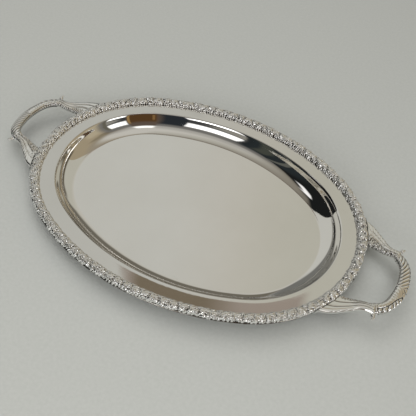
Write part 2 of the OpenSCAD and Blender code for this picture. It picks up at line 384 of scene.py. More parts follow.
class Relief:
    """Heights over a grid of lengths T by W, raised by stamps."""
    def __init__(self, T, W, H):
        self.T, self.W, self.H = T, W, H

    def stamp(self, f, tc, wc, rot, reach, lift=0.0):
        T, W, H = self.T, self.W, self.H
        i0, i1 = np.searchsorted(T, (tc - reach, tc + reach))
        j0, j1 = np.searchsorted(W, (wc - reach, wc + reach))
        if i1 <= i0 or j1 <= j0:
            return
        dt, dw = T[i0:i1, None] - tc, W[None, j0:j1] - wc
        c, s = math.cos(rot), math.sin(rot)
        H[i0:i1, j0:j1] = np.maximum(H[i0:i1, j0:j1], f(c * dt + s * dw, -s * dt + c * dw) + lift)

    def berries(self, tc, wc, rot, count, r, lift):
        c, s = math.cos(rot), math.sin(rot)
        for i in range(count):
            for k in range(count - i):
                x, y = i * 1.75 * r + rng.uniform(-0.12, 0.12), (k - (count - i - 1) / 2) * 2 * r + rng.uniform(-0.12, 0.12)
                self.stamp(hemi(r), tc + c * x - s * y, wc + s * x + c * y, 0, r, lift - 0.06 * i)

    def flower(self, tc, wc, r, petals, lift, turn):
        for k in range(petals):
            a = turn + 2 * pi * k / petals
            self.stamp(lobe(0.48 * r, 0.36 * r, 1.25), tc + 0.55 * r * math.cos(a), wc + 0.55 * r * math.sin(a), a, r, lift)
        self.stamp(hemi(0.30 * r), tc, wc, 0, r, lift + 0.55)

    def acanthus(self, tc, wc, rot, size, lift, curl=0.0):
        """A leaf of side lobes in pairs, a tip lobe and a midrib, bent by curl towards its tip."""
        def at(x, y, turn, a, b, top, up):
            g = curl * x / size
            c, s = math.cos(rot + g), math.sin(rot + g)
            self.stamp(lobe(a, b, top, 0.25), tc + c * x - s * y, wc + s * x + c * y, rot + g + turn, a + b, lift + up)
        for k in range(4):
            x = size * (0.10 + 0.215 * k)
            a = size * (0.285, 0.295, 0.26, 0.21)[k]
            for sg in (1, -1):
                g = sg * (0.90 - 0.14 * k + rng.uniform(-0.08, 0.08))
                at(x + 0.86 * a * math.cos(g), 0.86 * a * math.sin(g), g, a, 0.105 * size, 1.25 + rng.uniform(-0.12, 0.12), -0.12 + 0.1 * (k % 2))
        at(1.02 * size, 0, 0, 0.20 * size, 0.13 * size, 1.0, 0.15)
        at(0.45 * size, 0, 0, 0.52 * size, 0.062 * size, 0.85, 0.45)


def cavity(H, cell, near_k=0.55, wide_k=0.22):
    """0 in the deepest recesses to 1 on the highest edges."""
    H = np.clip(H, -1.2, 2.4)
    near, wide = blur(H, max(1, round(0.7 / cell))), blur(H, max(1, round(2.4 / cell)))
    return np.clip(0.54 + near_k * (H - near) + wide_k * (H - wide), 0, 1)


# ------------------------------------------------------------------ border
END_A0, END_A1 = math.radians(-30), math.radians(48)
SIDE_A1, SIDE_A2 = math.radians(80), math.radians(110.5)
S_A, S_B = END_R * (MEET + END_A0), END_R * (MEET + END_A1)
S_C, S_D = L_END + SIDE_R * (SIDE_A1 - MEET), L_END + SIDE_R * (SIDE_A2 - MEET)
SEGMENTS = [("border_end_right", S_A, S_B), ("border_rear_right", S_B, S_C), ("border_rear_centre", S_C, S_D),
            ("border_rear_left", S_D, S_A + HALF), ("border_end_left", S_A + HALF, S_B + HALF),
            ("border_front_left", S_B + HALF, S_C + HALF), ("border_front_centre", S_C + HALF, S_D + HALF),
            ("border_front_right", S_D + HALF, S_A + 2 * HALF)]
CREST = BORDER_W / 2


def border_base():
    """The border's plain section under the relief: points (u, z above the rim) and length along it."""
    a = np.linspace(0, pi, 160)
    u = CREST - 0.25 - 6.35 * np.sign(np.cos(a)) * np.abs(np.cos(a)) ** 0.86
    z = 6.0 * np.sin(a) ** 0.78
    u, z = np.append(u, u[-1]), np.append(z, -SHEET)
    l = np.concatenate([[0], np.cumsum(np.hypot(np.diff(u), np.diff(z)))])
    return u, z, l


def border_segment(name, s0, s1, gap=0.15, cell=0.27):
    bu, bz, bl = border_base()
    width = bl[-1]
    fine = np.linspace(s0, s1, 2000)
    _, _, r = oval(fine)
    tl = np.concatenate([[0], np.cumsum(np.diff(fine) * (1 + CREST / r[1:]))])   # length along the crest
    length = tl[-1]
    n_t, n_w = int((length - 2 * gap) / cell), int(width / cell)
    T = np.linspace(gap, length - gap, n_t)
    W = np.linspace(0, width, n_w)
    mid = np.interp(CREST, bu[:100], bl[:100])
    face = bl[159]                                               # where the outer face meets the lip
    field = Relief(T, W, np.full((n_t, n_w), -0.95))
    stamp = field.stamp

    def j(k):
        return rng.uniform(-k, k)

    periods = max(1, round(length / 26))
    P = length / periods
    # a ground of beads
    for row, w in enumerate(np.arange(2.4, face - 1.2, 2.6)):
        for t in np.arange(0.6 + 1.4 * (row % 2), length, 2.9):
            k = rng.uniform(1.1, 1.5)
            stamp(hemi(k), t + j(0.4), w + j(0.4), 0, k, -1.0 + j(0.15))
    # tongues up from the inner foot and broad leaf ends down the outer face
    t = 1.2
    fine_k = 0.68 if "front" in name else 1.0
    while t < length:
        k, b = rng.uniform(2.6, 4.8), fine_k * rng.uniform(1.5, 2.4)
        if rng.uniform(0, 1) < 0.25:
            field.berries(t, 1.8 + j(0.4), pi / 2 + j(0.5), 2, rng.uniform(1.2, 1.6), -0.35)
        else:
            stamp(lobe(k, b, rng.uniform(1.2, 1.9), 0.25), t, k * 0.80, pi / 2 + j(0.55), k + 2, -0.45)
        t += 2 * b + fine_k * rng.uniform(0.0, 1.8)
    for t in np.arange(0.9, length, 3.7):
        k = rng.uniform(1.55, 1.85)
        stamp(hemi(k), t + j(0.3), 1.5 + j(0.2), 0, k, -0.35 + j(0.2))
    t = 1.6
    while t < length:
        if rng.uniform(0, 1) < 0.62:
            k, b = rng.uniform(4.0, 5.6), rng.uniform(1.15, 1.65)
            stamp(lobe(k, b, rng.uniform(1.4, 1.8), 0.2), t, face - 0.78 * k, -pi / 2 + 0.80 + j(0.35), k + 2, -0.36 + j(0.15))
        else:
            k, b = rng.uniform(3.4, 4.8), rng.uniform(1.8, 2.6)
            stamp(lobe(k, b, rng.uniform(1.5, 1.9), 0.15), t, face - 0.86 * k, -pi / 2 + 0.60 + j(0.35), k + 2, -0.42)
        t += 2 * b + rng.uniform(0.3, 1.5)
    # leaves that cross the crest from either side, with flowers and fruit in the corners between them
    for p in range(-1, periods + 1):
        t0 = p * P
        field.flower(t0 + (0.50 + j(0.02)) * P, mid - 4.6 + j(0.3), 3.5 + j(0.25), 5, 0.15, j(1))
        field.flower(t0 + (0.03 + j(0.02)) * P, mid + 5.0 + j(0.3), 3.6 + j(0.25), 5, 0.15, j(1))
        field.berries(t0 + (0.86 + j(0.02)) * P, mid - 4.8 + j(0.3), j(0.6), 2, 1.45, 0.0)
        field.berries(t0 + (0.36 + j(0.02)) * P, mid + 5.6 + j(0.3), pi + j(0.6), 2, 1.45, 0.0)
        field.acanthus(t0 + 0.00 * P + j(0.5), mid - 4.0 + j(0.3), 0.50 + j(0.10), 13.0 + j(0.8), 0.22, 0.30)
        field.acanthus(t0 + 0.52 * P + j(0.5), mid + 4.2 + j(0.3), -0.52 + j(0.10), 12.4 + j(0.8), 0.28, -0.30)
    # the outline swells and thins along the length
    H = field.H
    if "front" in name:                                          # shallower ground along the crest
        H = np.maximum(H, (-0.95 + 0.90 * smooth(2.0, 4.2, W) * smooth(mid + 4.5, mid + 1.5, W))[None])
    swell = 0.25 * np.cos(2 * pi * T / P + j(1)) + 0.20 * np.cos(4 * pi * T / P + j(2)) + 0.12 * np.cos(2 * pi * T / 7.3 + j(3))
    H = H + swell[:, None]
    # a plain raised bar closes each casting
    near = np.minimum(T - T[0], T[-1] - T)[:, None]
    bar = smooth(2.2, 1.2, near)
    H = H * (1 - bar) + bar * (0.30 + 0.45 * np.cos(np.clip((near - 0.7) / 1.2, -1, 1) * pi / 2))
    H = H - 0.35 * smooth(0.35, 0.0, near)
    S = np.interp(T, tl, fine)
    relief = cavity(H, cell, 0.50, 0.24) + 0.08
    # painted shade and painted light on the lengths from the rear left round the left end to the front left: darker
    # hollows, more contrast and a lighter tone there
    q = (S / HALF * 6) % 12
    left_lengths = smooth(3.4, 5.4, q) * smooth(9.8, 8.6, q)
    relief = 0.60 + (relief - 0.60) * (1 + 0.30 * left_lengths[:, None]) + 0.05 * left_lengths[:, None]
    # painted shade along the inner foot, where the border meets the rim, stronger on the left lengths and broken into
    # dashes
    knots = np.arange(0, length + 10, 5.0)
    foot_shade_dashes = np.interp(T, knots, rng.uniform(0.0, 1.0, len(knots)))
    foot_shade_k = 0.18 + 0.42 * left_lengths + (0.72 - 0.32 * left_lengths) * smooth(0.30, 0.75, foot_shade_dashes)
    relief = relief - foot_shade_k[:, None] * smooth(3.4, 0.6, W)[None] * smooth(0.9, 0.2, H)
    # painted shade along the lower edge of the outer face, lighter on the left lengths
    relief = relief - (0.36 - 0.14 * left_lengths)[:, None] * smooth(face - 4.0, face, W)[None]
    # the crest is made lighter
    relief = relief + 0.09 * (smooth(2.4, 4.4, W) * smooth(mid + 3.5, mid + 1.0, W))[None]
    # on the section
    U, Z = np.interp(W, bl, bu), np.interp(W, bl, bz)
    du, dz = np.gradient(U, W), np.gradient(Z, W)
    ln = np.hypot(du, dz)
    nu, nz = -dz / ln, du / ln
    p0, n0, _ = oval(S)
    # less relief towards the outer face, which stays within the border's width
    H = np.where(W[None] > mid, H - (0.10 * smooth(mid, face - 2, W))[None], H)
    uu = U[None] + H * nu[None]
    zz = Z[None] + H * nz[None]
    foot = smooth(0.0, 0.9, W)[None] * smooth(0.0, 0.9, width - W)[None]
    zz = np.where(W[None] < 6, np.maximum(zz, 0.0), zz)
    zz = Z[None] * (1 - foot) + zz * foot
    # the outer edge runs in and out
    a = 2 * pi * T / P
    bay = 0.9 + 0.55 * np.cos(a / 2 + j(3)) + 0.35 * np.cos(a + j(3)) + 0.25 * np.cos(2 * pi * T / 9.1 + j(3)) + 0.35 * np.cos(2 * pi * T / 5.3 + 1.5 * np.sin(T / 8.0))
    ang = np.degrees(np.arctan2(np.abs(p0[:, 1]), np.abs(p0[:, 0]) - END_CX))
    bay = np.clip(bay, 0, 2) * smooth(0.0, 4.0, near[:, 0]) * (1 - smooth(10, 14, ang) * smooth(41, 36, ang))   # none under the handles' leaves
    uu = uu - bay[:, None] * smooth(mid - 1, face - 2, W)[None] * smooth(-1.0, 2.5, zz)
    uu = np.clip(uu, -1.1, BORDER_W)
    zz = np.minimum(zz, 8.6)
    # underside: lip, sheet's edge, rim's top
    uu = np.concatenate([uu, np.tile([[BORDER_W - 1.6, BORDER_W - 1.6, 3.0]], (n_t, 1))], 1)
    zz = np.concatenate([zz, np.tile([[-SHEET, 0.02, 0.02]], (n_t, 1))], 1)
    relief = np.concatenate([relief, np.full((n_t, 3), 0.3)], 1)
    xy = p0[:, None] + uu[..., None] * n0[:, None]
    v = np.concatenate([xy, RIM + zz[..., None]], -1)
    k = n_w + 3
    faces = [grid_quads(n_t, k, wrap_c=True), list(range(k))[::-1], list(range((n_t - 1) * k, n_t * k))]
    ob = make(name + "_cast", v.reshape(-1, 3), faces, {"relief": relief.ravel()})
    ob.data.materials.append(CAST)
    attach(ob, "root")
    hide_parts(name)
    return ob


# ------------------------------------------------------------------ handles
def mirrored(v, mx, my):
    return v * np.array([mx, my, 1.0])


def bow_path(n):
    """Stations along the bow: centre, outward direction, distance from the middle."""
    l_mid, l_cor = BOW_R * BOW_MEET, CORNER_R * (BOW_END - BOW_MEET)
    l = np.linspace(-(l_mid + l_cor), l_mid + l_cor, n)
    a_l, sg = np.abs(l), np.where(l < 0, -1.0, 1.0)
    mid = a_l <= l_mid
    a = np.where(mid, a_l / BOW_R, BOW_MEET + (a_l - l_mid) / CORNER_R)
    x = np.where(mid, BOW_CX + BOW_R * np.cos(a), CORNER_C[0] + CORNER_R * np.cos(a))
    y = np.where(mid, BOW_R * np.sin(a), CORNER_C[1] + CORNER_R * np.sin(a))
    return np.stack([x, y * sg], -1), np.stack([np.cos(a), np.sin(a) * sg], -1), l


def grip(name, turn):
    n_l, n_f = 460, 192
    C, E, l = bow_path(n_l)
    half = l[-1]
    f = np.linspace(-pi, pi, n_f, endpoint=False) + 0.01       # 0 at the outer edge, 90 degrees on the top face
    F, Lg = np.meshgrid(f, l)
    a_l = np.abs(Lg)
    k = a_l / half
    pa, pb = 8.35 - 0.95 * k ** 2, 5.35 - 0.20 * k ** 2
    base = 1 / ((np.abs(np.cos(F)) / pa) ** 2.3 + (np.abs(np.sin(F)) / pb) ** 2.3) ** (1 / 2.3)
    w = base * np.cos(F)                                        # across the strap, outwards
    deg = np.degrees(F)
    deg2 = np.where(deg < -90, deg + 360, deg)
    # one half: slanting ribs over the whole top face
    rib = np.abs(np.cos(pi * (Lg - 1.20 * w) / 6.6)) ** 0.85
    d_b = (0.70 * rib - 0.40) * smooth(-40, -30, deg) * smooth(166, 156, deg2)
    d_b -= 0.40 * np.exp(-((deg2 - 168) / 4.0) ** 2) + 0.35 * np.exp(-((deg + 42) / 4.0) ** 2)
    # a row of beads along the inner side
    inner = np.abs(np.cos(pi * Lg / 4.4)) ** 0.8 * np.abs(np.cos(pi * np.clip((deg2 - 190) / 40, -0.5, 0.5))) ** 0.6
    inner = (0.80 * inner - 0.35) * smooth(169, 175, deg2) * smooth(213, 206, deg2)
    d_b += inner
    # the other half: a beaded band along the outer edge that tapers towards the middle, and fine hatching inside it
    groove = 18 + 72 * smooth(2, 30, -Lg)
    bead = np.abs(np.cos(pi * (Lg + 0.9 * np.sin(Lg / 4.1) + 0.55 * w) / 6.8)) ** 0.7 * np.abs(np.cos(pi * np.clip((deg - groove + 32) / 78, -0.5, 0.5))) ** 0.5
    d_a = (1.50 * bead - 0.90) * smooth(-70, -55, deg) * smooth(1.0, -3.0, deg - groove)
    hatch = np.abs(np.cos(pi * (Lg + 0.70 * w + 0.8 * np.sin(Lg / 3.1)) / 4.6)) ** 0.9 * (0.70 + 0.30 * np.sin(Lg / 5.3 + w / 3.0))
    d_a += inner + (0.30 * hatch - 0.12) * smooth(2.0, 8.0, deg - groove) * smooth(166, 158, deg2)
    d_a -= 0.70 * np.exp(-((deg - groove) / 6.5) ** 2) + 0.40 * np.exp(-((deg2 - 168) / 3.0) ** 2)
    side = smooth(-2.0, 2.0, Lg)
    d = d_a * (1 - side) + d_b * side
    # knobs at the middle and a collar at each end
    for lc, fc, rl, rf, top in ((-9.5, 34, 3.4, 26, 0.75), (-1.0, 38, 3.4, 26, 0.80), (6.5, 30, 2.8, 22, 0.6), (0.5, 176, 2.6, 18, 0.7)):
        e = ((Lg - lc) / rl) ** 2 + ((deg2 - fc) / rf) ** 2
        d = np.maximum(d, np.where(e < 1, top * np.sqrt(np.maximum(1 - e, 0)) - 0.1, -9))
    d = d * smooth(half - 0.8, half - 2.6, a_l) + 0.4 * np.sqrt(np.clip(1 - ((half - a_l - 1.0) / 1.0) ** 2, 0, 1))
    relief = cavity(d, 0.27, 1.0, 0.45)
    if turn < 0:                                                 # on the left grip, painted contrast and a lighter tone stand in for light, and painted shade runs along the inner underside
        relief = 0.60 + 1.45 * (relief - 0.60) + 0.08 - 0.55 * smooth(184, 200, deg2)
    # painted shade along the inner underside and the lower outer side of each grip
    relief = relief - 0.42 * smooth(188, 216, deg2) - 0.30 * smooth(14, -16, deg) * smooth(-120, -80, deg)
    r = base + d
    px, q = r * np.cos(F), r * np.sin(F)
    ct, st = math.cos(BOW_TILT), math.sin(BOW_TILT)
    out, up = ct * px + st * q, -st * px + ct * q
    out, up = np.minimum(out, 8.6), np.minimum(up, 6.35)
    v = np.concatenate([C[:, None] + out[..., None] * E[:, None], (BOW_Z + up)[..., None]], -1).reshape(-1, 3)
    v = np.concatenate([v, [[*C[0], BOW_Z], [*C[-1], BOW_Z]]])
    relief = np.append(relief.ravel(), [0.3, 0.3])
    m0, m1 = n_l * n_f, n_l * n_f + 1
    i = np.arange(n_f)
    caps = [np.stack([i, np.roll(i, -1), np.full(n_f, m0)], -1),
            np.stack([np.roll(i, -1) + (n_l - 1) * n_f, i + (n_l - 1) * n_f, np.full(n_f, m1)], -1)]
    faces = [grid_quads(n_l, n_f, wrap_c=True)] + caps
    ob = make(name + "_cast", mirrored(v, turn, turn), faces, {"relief": relief})
    ob.data.materials.append(CAST)
    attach(ob, "root")
    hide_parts(name)


def rows(t, table):
    """Smooth interpolation of a table of rows at 0..1 along it."""
    table = np.asarray(table, float)
    n = len(table) - 1
    x = np.clip(t, 0, 1) * n
    i = np.clip(x.astype(int), 0, n - 1)
    u = (x - i)[:, None]
    p0, p1, p2, p3 = table[np.maximum(i - 1, 0)], table[i], table[i + 1], table[np.minimum(i + 2, n)]
    return p1 + 0.5 * u * (p2 - p0 + u * (2 * p0 - 5 * p1 + 4 * p2 - p3 + u * (3 * (p1 - p2) + p3 - p0)))


def ball(c, r, n=20):
    c = np.asarray(c, float)
    th = np.linspace(0, pi, n // 2 + 1)[1:-1]
    ph = np.linspace(0, 2 * pi, n, endpoint=False)
    t, p = np.meshgrid(th, ph, indexing="ij")
    v = c + r * np.stack([np.sin(t) * np.cos(p), np.sin(t) * np.sin(p), np.cos(t)], -1).reshape(-1, 3)
    v = np.concatenate([v, [c + [0, 0, r], c - [0, 0, r]]])
    m = len(th)
    i = np.arange(n)
    top = np.stack([i, np.roll(i, -1), np.full(n, m * n)], -1)[:, ::-1]
    low = np.stack([i + (m - 1) * n, np.roll(i, -1) + (m - 1) * n, np.full(n, m * n + 1)], -1)
    return v, [grid_quads(m, n, wrap_c=True), top, low]


def tang():
    """The flat tongue under the rim, with its two screw holes, as points and faces."""
    cu = bpy.data.curves.new("tongue", "CURVE")
    cu.dimensions, cu.fill_mode = "2D", "BOTH"
    e = 0.3
    cu.extrude, cu.bevel_depth, cu.bevel_resolution = (1.5 - e) * MM, e * MM, 2
    a0, a1 = math.radians(17.5), math.radians(31.0)

    def spline(pts):
        s = cu.splines.new("POLY")
        s.points.add(len(pts) - 1)
        for p, q in zip(s.points, pts):
            p.co = (q[0] * MM, q[1] * MM, 0, 1)
        s.use_cyclic_u = True
    r0, r1, r2 = 151.0 + e, 169.2 - e, 176.6
    a2 = math.radians(26.0)
    arc = np.linspace(a0 + e / r0, a1 - e / r0, 24)
    neck = np.linspace(a0 + e / r0, a2 - e / r0, 16)
    spline([(END_CX + r2 * math.cos(a), r2 * math.sin(a)) for a in neck] +
           [(END_CX + r1 * math.cos(a), r1 * math.sin(a)) for a in arc if a > a2] +
           [(END_CX + r0 * math.cos(a), r0 * math.sin(a)) for a in arc[::-1]])
    for deg in (20.5, 28.0):
        c = (END_CX + (END_R + SCREW_U) * math.cos(math.radians(deg)), (END_R + SCREW_U) * math.sin(math.radians(deg)))
        spline([(c[0] + (2.15 + e) * math.cos(b), c[1] + (2.15 + e) * math.sin(b)) for b in np.linspace(0, 2 * pi, 28, endpoint=False)])
    ob = bpy.data.objects.new("tongue", cu)
    bpy.context.scene.collection.objects.link(ob)
    me = bpy.data.meshes.new_from_object(ob.evaluated_get(bpy.context.evaluated_depsgraph_get()))
    bpy.data.objects.remove(ob)
    bpy.data.curves.remove(cu)
    bm = bmesh.new()
    bm.from_mesh(me)
    bmesh.ops.remove_doubles(bm, verts=bm.verts, dist=2e-6)
    bmesh.ops.recalc_face_normals(bm, faces=bm.faces)
    v = np.array([x.co[:] for x in bm.verts]) / MM + [0, 0, RIM - SHEET - 1.5]
    bm.verts.index_update()
    faces = [[x.index for x in f.verts] for f in bm.faces]
    bm.free()
    bpy.data.meshes.remove(me)
    return v, faces


LEAF_D = np.array([8.0, 15.0]) / 17.0
BOW_TIP = np.array(CORNER_C) + CORNER_R * LEAF_D


def leaf(name, mx, my, beaded):
    # rings from the bow's end to the border: outer point, inner point, height above and below the line between them
    o, i = BOW_TIP + 7.6 * LEAF_D, BOW_TIP - 7.6 * LEAF_D
    table = [[*o, 3.0 - 2.0, *i, 3.0 + 2.0, 5.3, 5.3], [288.4, 57.0, 3.2, 280.6, 43.1, 3.6, 5.1, 5.1],
             [279.0, 56.6, 3.6, 271.6, 43.8, 1.6, 4.6, 4.6], [270.8, 59.2, 3.0, 264.0, 45.0, 0.0, 4.2, 4.4],
             [262.9, 65.4, 1.8, 257.4, 46.8, -0.8, 3.8, 4.4], [252.3, 73.4, 1.4, 250.8, 48.0, -1.2, 3.6, 4.4],
             [241.5, 81.2, 1.2, 244.0, 48.6, -1.2, 3.4, 4.4], [222.0, 89.2, 1.2, 234.0, 48.8, -1.2, 3.2, 4.4]]
    n_t, n_f = 230, 170
    t = np.linspace(0, 1, n_t)
    R = rows(t, table)
    out, inn = R[:, 0:3], R[:, 3:6]
    up, low = R[:, 6], R[:, 7]
    # the root follows the border's outer face
    def to_border(p):
        d = p - [END_CX, 0]
        r = np.hypot(d[:, 0], d[:, 1])
        k = np.maximum(r, END_R + BORDER_W + 0.1) / r
        return [END_CX, 0] + d * k[:, None]
    f = np.linspace(0, 2 * pi, n_f, endpoint=False)
    F, Tt = np.meshgrid(f, t)
    q = np.cos(F)                                               # 1 at the outer edge, -1 at the inner
    top = np.sin(F) > 0
    length = 72.0
    X = Tt * length
    ends = smooth(0.03, 0.12, Tt)
    # soft folds that run together towards the bow, with narrow lines between them
    g = q + 0.05 * np.sin(4 * Tt + 0.5)
    deep_k, fold_k = (0.45, 0.55) if beaded else (1.0, 1.0)
    d = 0.24 * fold_k * np.abs(np.cos(1.75 * pi * (g - 0.06))) ** 0.9 * ends
    for c, w, deep in ((0.345, 0.050, 0.20), (-0.225, 0.050, 0.24), (0.80, 0.040, 0.10)):
        d -= deep_k * deep * np.exp(-((g - c) / w) ** 2) * ends * smooth(1.0, 0.8, Tt)
    # veins towards both edges
    d += 0.13 * np.cos(2 * pi * (X / 4.6 - 1.6 * np.abs(g))) * smooth(0.15, 0.7, np.abs(q) if beaded else -q) * ends
    d = np.where(top, d, 0.25 * d)
    # small flowers and beads along the inner edge
    side = Relief(t * length, np.linspace(-1, 1, 110) * 9.0, np.full((n_t, 110), -9.0))
    if beaded:
        for _ in range(150):
            k = rng.uniform(0.8, 1.3)
            side.stamp(hemi(k), rng.uniform(5, 68), rng.uniform(-8.6, 6.0), 0, k, -0.70)
        for _ in range(70):
            k = rng.uniform(0.8, 1.4)
            side.stamp(hemi(k), rng.uniform(6, 62), rng.uniform(-8.6, -3.2), 0, k, -0.15)
        for x in (12, 20, 29, 38, 47, 56):
            side.flower(x + rng.uniform(-1, 1), -6.4 + rng.uniform(-0.8, 0.8), 3.0, 5, 0.0, rng.uniform(0, 1))
    else:
        for x in np.arange(8, 60, 4.2):
            side.stamp(lobe(2.4, 1.3, 0.8, 0.3), x + rng.uniform(-0.4, 0.4), -7.6, 0.9, 3, 0.0)
    col = np.clip((q + 1) / 2 * 109, 0, 108.999)
    ci = col.astype(int)
    ri = np.arange(n_t)[:, None]
    rel = side.H[ri, ci] * (1 - (col - ci)) + side.H[ri, ci + 1] * (col - ci)
    d = np.where(top, np.maximum(d, rel), d)
    # toothed edges
    tooth = np.abs(np.sin(pi * X / 7.5)) ** 0.6 - 0.6
    wide = 1 + ((0.09 if beaded else 0.15) * tooth * smooth(0.0, -0.8, q) + 0.035 * tooth * smooth(0.2, 0.9, q)) * ends
    d = d + 0.35 * np.sqrt(np.clip(1 - ((X - 1.4) / 1.4) ** 2, 0, 1))
    relief = cavity(np.where(top, d, 0.4), 0.38, 1.2, 0.35)
    M, Hw = (out + inn) / 2, (out - inn) / 2
    hw = np.linalg.norm(Hw, axis=1)[:, None]
    s = np.abs(np.sin(F)) ** (0.85 - 0.35 * smooth(0.25, 0.6, Tt))
    nrm = np.stack([q / hw, np.where(top, s, -s) / np.where(top, up[:, None], low[:, None])], -1)
    nrm /= np.maximum(np.linalg.norm(nrm, axis=-1, keepdims=True), 1e-6)
    pl = hw * q * wide + d * nrm[..., 0]
    z = np.where(top, up[:, None] * s, -low[:, None] * s) + d * nrm[..., 1]
    p3 = M[:, None] + (Hw / hw)[:, None] * pl[..., None]
    xy = to_border(p3[..., :2].reshape(-1, 2)).reshape(p3.shape[:2] + (2,))
    v = np.concatenate([xy, RIM + np.minimum(p3[..., 2] + z, 9.3)[..., None]], -1).reshape(-1, 3)
    e1 = v[-n_f:].mean(0)
    v = np.concatenate([v, [[*BOW_TIP, BOW_Z]], [e1]])
    relief = np.append(relief.ravel(), [0.3, 0.3])
    m0, m1 = n_t * n_f, n_t * n_f + 1
    k = np.arange(n_f)
    faces = [grid_quads(n_t, n_f, wrap_c=True),
             np.stack([k, np.roll(k, -1), np.full(n_f, m0)], -1)[:, ::-1],
             np.stack([np.roll(k, -1) + (n_t - 1) * n_f, k + (n_t - 1) * n_f, np.full(n_f, m1)], -1)[:, ::-1]]
    if volume(v, faces) < 0:
        faces = [g[:, ::-1] for g in faces]
    # the bud at the joint and the tongue under the rim
    parts = [ball((288.6, 58.2, RIM + 3.9), 3.2), ball((289.5, 60.4, RIM + 4.2), 2.7), ball((290.7, 61.6, RIM + 4.4), 2.0)]
    if not beaded:
        parts += [ball((289.5, 62.8, RIM + 4.6), 2.0), ball((289.4, 64.8, RIM + 4.8), 1.6)]
    for pv, pf in parts:
        if volume(pv, pf) < 0:
            pf = [g[:, ::-1] for g in pf]
        faces += [g + len(v) for g in pf]
        v = np.concatenate([v, pv])
        relief = np.append(relief, np.full(len(pv), 0.62))
    tv, tf = tang()
    if volume(tv, tf) < 0:
        tf = [g[::-1] for g in tf]
    faces += [[int(x) + len(v) for x in g] for g in tf]
    v = np.concatenate([v, tv])
    relief = np.append(relief, np.full(len(tv), 0.5))
    ob = make(name + "_cast", mirrored(v, mx, my), faces, {"relief": relief}, sharp=60)
    ob.data.materials.append(CAST)
    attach(ob, "root")
    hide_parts(name)


# ------------------------------------------------------------------ stage
def stage():
    m, nt, b = new_material("pale_floor")
    co = object_coords(nt)
    g = noise(nt, co, 220.0, 3.0, 0.6)
    nt.links.new(ramp(nt, g, [(0.3, (0.40, 0.415, 0.405)), (0.7, (0.43, 0.445, 0.435))]), b.inputs["Base Color"])
    b.inputs["Roughness"].default_value = 0.9
    b.inputs["Specular IOR Level"].default_value = 0.2
    me = bpy.data.meshes.new("floor")
    me.from_pydata([(-6, -6, 0), (6, -6, 0), (6, 6, 0), (-6, 6, 0)], [], [(0, 1, 2, 3)])
    ob = bpy.data.objects.new("floor", me)
    bpy.context.scene.collection.objects.link(ob)
    ob.location.z = -0.0003
    me.materials.append(m)


